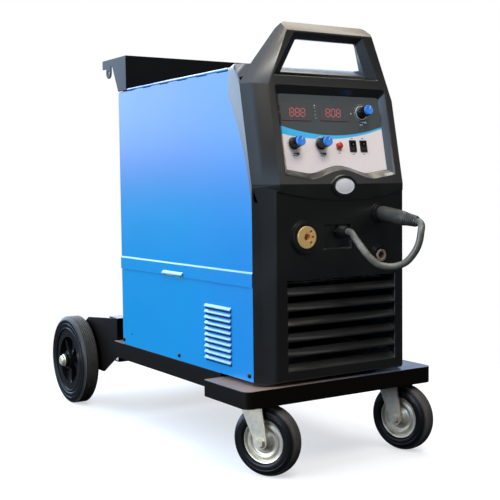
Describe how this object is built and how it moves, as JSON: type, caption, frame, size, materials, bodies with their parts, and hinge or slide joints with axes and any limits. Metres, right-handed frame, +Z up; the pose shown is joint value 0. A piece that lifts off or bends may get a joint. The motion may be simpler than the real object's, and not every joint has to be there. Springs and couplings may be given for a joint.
{
  "type": "mig welder on cart",
  "caption": "Upright MIG welding power source with wire feeder, moulded front with handle, side door, and a cart with rear wheels, swivel casters and a bottle tray.",
  "frame": {"origin": "on the floor, under the middle of the machine's box without its front cable", "axes": "+X to the machine's left-hand side as seen from behind it (its right as seen from the front), +Y from the front to the bottle tray, +Z up"},
  "size_m": [0.444, 0.9982, 0.7819],
  "materials": {
    "black_paint": "black powder coat, satin, fine texture",
    "azure_paint": "azure powder coat, semi-gloss",
    "zinc": "bright zinc plate",
    "black_plastic": "moulded ABS with a fine grain",
    "gloss_black": "glossy black plastic",
    "panel_film": "printed polycarbonate film, dark green-grey above a pale lower field",
    "display": "smoked red display window with plain figures",
    "badge_silver": "domed silver badge, left bare",
    "brass": "machined brass",
    "rubber": "black rubber",
    "tyre": "black rubber tyre, greyed tread",
    "wheel_plastic": "moulded nylon wheel centre",
    "red_plastic": "glossy red plastic",
    "alloy": "cast and extruded aluminium",
    "circuit": "green circuit board with solder mask",
    "copper": "laminated core with varnished copper winding",
    "arm_red": "red painted casting"
  },
  "bodies": {
    "machine": {"deck": "black_paint", "side_rails": "black_paint", "bottle_tray": "black_paint", "rear_axle": "zinc", "caster_plates": "zinc", "mounting_pads": "rubber", "base_pan": "zinc", "cover_panel": "azure_paint", "lower_side_panel": "azure_paint", "rear_panel": "black_paint", "partition": "zinc", "front_bezel": "black_plastic", "control_plate": "panel_film", "display_windows": "display", "dial_rings": "zinc", "switch_frames": "black_plastic", "control_board": "circuit", "badge": "badge_silver", "socket_flanges": "black_plastic", "torch_socket_body": "brass", "current_socket_inserts": "brass", "polarity_gland": "black_plastic", "polarity_cable": "rubber", "polarity_plug": "rubber", "feeder_body": "alloy", "feed_motor": "black_paint", "spool_shaft": "zinc", "power_module": "alloy", "transformer": "copper", "fan_frame": "black_plastic", "fan_guard": "zinc", "mains_gland": "black_plastic", "gas_inlet": "brass", "bottle_bracket": "black_paint", "fasteners": "black_paint", "hinge_pin": "zinc"},
    "spool_door": {"spool_door": "azure_paint"},
    "caster_fork_left": {"caster_fork_left": "zinc"},
    "caster_wheel_left": {"caster_rim_left": "zinc", "caster_tyre_left": "tyre"},
    "caster_fork_right": {"caster_fork_right": "zinc"},
    "caster_wheel_right": {"caster_rim_right": "zinc", "caster_tyre_right": "tyre"},
    "rear_wheel_left": {"rear_wheel_left": "wheel_plastic", "rear_tyre_left": "tyre"},
    "rear_wheel_right": {"rear_wheel_right": "wheel_plastic", "rear_tyre_right": "tyre"},
    "voltage_knob": {"voltage_knob": "gloss_black"},
    "speed_knob": {"speed_knob": "gloss_black"},
    "inductance_knob": {"inductance_knob": "gloss_black"},
    "purge_button": {"purge_button": "red_plastic"},
    "rocker_left": {"rocker_left": "gloss_black"},
    "rocker_right": {"rocker_right": "gloss_black"},
    "mains_switch_knob": {"mains_switch_knob": "red_plastic"},
    "fan_rotor": {"fan_rotor": "black_plastic"},
    "spool_hub": {"spool_hub": "black_plastic"},
    "feed_roll": {"feed_roll": "zinc"},
    "pressure_arm": {"pressure_arm": "arm_red"},
    "pressure_roll": {"pressure_roll": "zinc"},
    "tension_lever": {"tension_lever": "gloss_black"}
  },
  "joints": [
    {"name": "door_hinge", "type": "hinge", "parent": "machine", "child": "spool_door", "pos_m": [-0.1683, -0.10228, 0.6985], "axis": [0, 1, 0], "range_deg": [0, 100]},
    {"name": "caster_swivel_left", "type": "hinge", "parent": "machine", "child": "caster_fork_left", "pos_m": [-0.155, -0.35978, 0.14], "axis": [0, 0, 1], "continuous": true},
    {"name": "caster_roll_left", "type": "hinge", "parent": "caster_fork_left", "child": "caster_wheel_left", "pos_m": [-0.14002, -0.38918, 0.0625], "axis": [0.891, 0.454, 0], "continuous": true},
    {"name": "caster_swivel_right", "type": "hinge", "parent": "machine", "child": "caster_fork_right", "pos_m": [0.155, -0.35978, 0.14], "axis": [0, 0, 1], "continuous": true},
    {"name": "caster_roll_right", "type": "hinge", "parent": "caster_fork_right", "child": "caster_wheel_right", "pos_m": [0.16354, -0.39166, 0.0625], "axis": [0.9659, 0.2588, 0], "continuous": true},
    {"name": "rear_wheel_roll_left", "type": "hinge", "parent": "machine", "child": "rear_wheel_left", "pos_m": [-0.186, 0.35322, 0.1], "axis": [1, 0, 0], "continuous": true},
    {"name": "rear_wheel_roll_right", "type": "hinge", "parent": "machine", "child": "rear_wheel_right", "pos_m": [0.186, 0.35322, 0.1], "axis": [1, 0, 0], "continuous": true},
    {"name": "voltage_knob_turn", "type": "hinge", "parent": "machine", "child": "voltage_knob", "pos_m": [0.067, -0.3909, 0.62601], "axis": [0, -0.9806, 0.1959], "range_deg": [-140, 140]},
    {"name": "speed_knob_turn", "type": "hinge", "parent": "machine", "child": "speed_knob", "pos_m": [-0.089, -0.40227, 0.56913], "axis": [0, -0.9806, 0.1959], "range_deg": [-140, 140]},
    {"name": "inductance_knob_turn", "type": "hinge", "parent": "machine", "child": "inductance_knob", "pos_m": [-0.032, -0.40227, 0.56913], "axis": [0, -0.9806, 0.1959], "range_deg": [-140, 140]},
    {"name": "purge_button_press", "type": "slide", "parent": "machine", "child": "purge_button", "axis": [0, 0.9806, -0.1959], "range_m": [0, 0.002], "stiffness_N_per_m": 300},
    {"name": "rocker_left_tip", "type": "hinge", "parent": "machine", "child": "rocker_left", "pos_m": [0.038, -0.39992, 0.56561], "axis": [1, 0, 0], "range_deg": [-16, 0]},
    {"name": "rocker_right_tip", "type": "hinge", "parent": "machine", "child": "rocker_right", "pos_m": [0.062, -0.39992, 0.56561], "axis": [1, 0, 0], "range_deg": [-16, 0]},
    {"name": "mains_switch_turn", "type": "hinge", "parent": "machine", "child": "mains_switch_knob", "pos_m": [0.105, 0.11972, 0.6355], "axis": [0, 1, 0], "range_deg": [0, 90]},
    {"name": "fan_spin", "type": "hinge", "parent": "machine", "child": "fan_rotor", "pos_m": [0, 0.09372, 0.239], "axis": [0, 1, 0], "continuous": true},
    {"name": "spool_hub_turn", "type": "hinge", "parent": "machine", "child": "spool_hub", "pos_m": [-0.082, -0.04128, 0.5], "axis": [1, 0, 0], "continuous": true},
    {"name": "feed_roll_turn", "type": "hinge", "parent": "machine", "child": "feed_roll", "pos_m": [-0.082, -0.25428, 0.3909], "axis": [1, 0, 0], "continuous": true},
    {"name": "pressure_arm_lift", "type": "hinge", "parent": "machine", "child": "pressure_arm", "pos_m": [-0.07, -0.21228, 0.44], "axis": [-1, 0, 0], "range_deg": [0, 4]},
    {"name": "pressure_roll_turn", "type": "hinge", "parent": "pressure_arm", "child": "pressure_roll", "pos_m": [-0.082, -0.25428, 0.4291], "axis": [1, 0, 0], "continuous": true},
    {"name": "tension_lever_swing", "type": "hinge", "parent": "machine", "child": "tension_lever", "pos_m": [-0.098, -0.30428, 0.372], "axis": [1, 0, 0], "range_deg": [0, 35]}
  ],
  "couplings": [
    {"joint": "pressure_roll_turn", "follows": "feed_roll_turn", "ratio": -1}
  ]
}
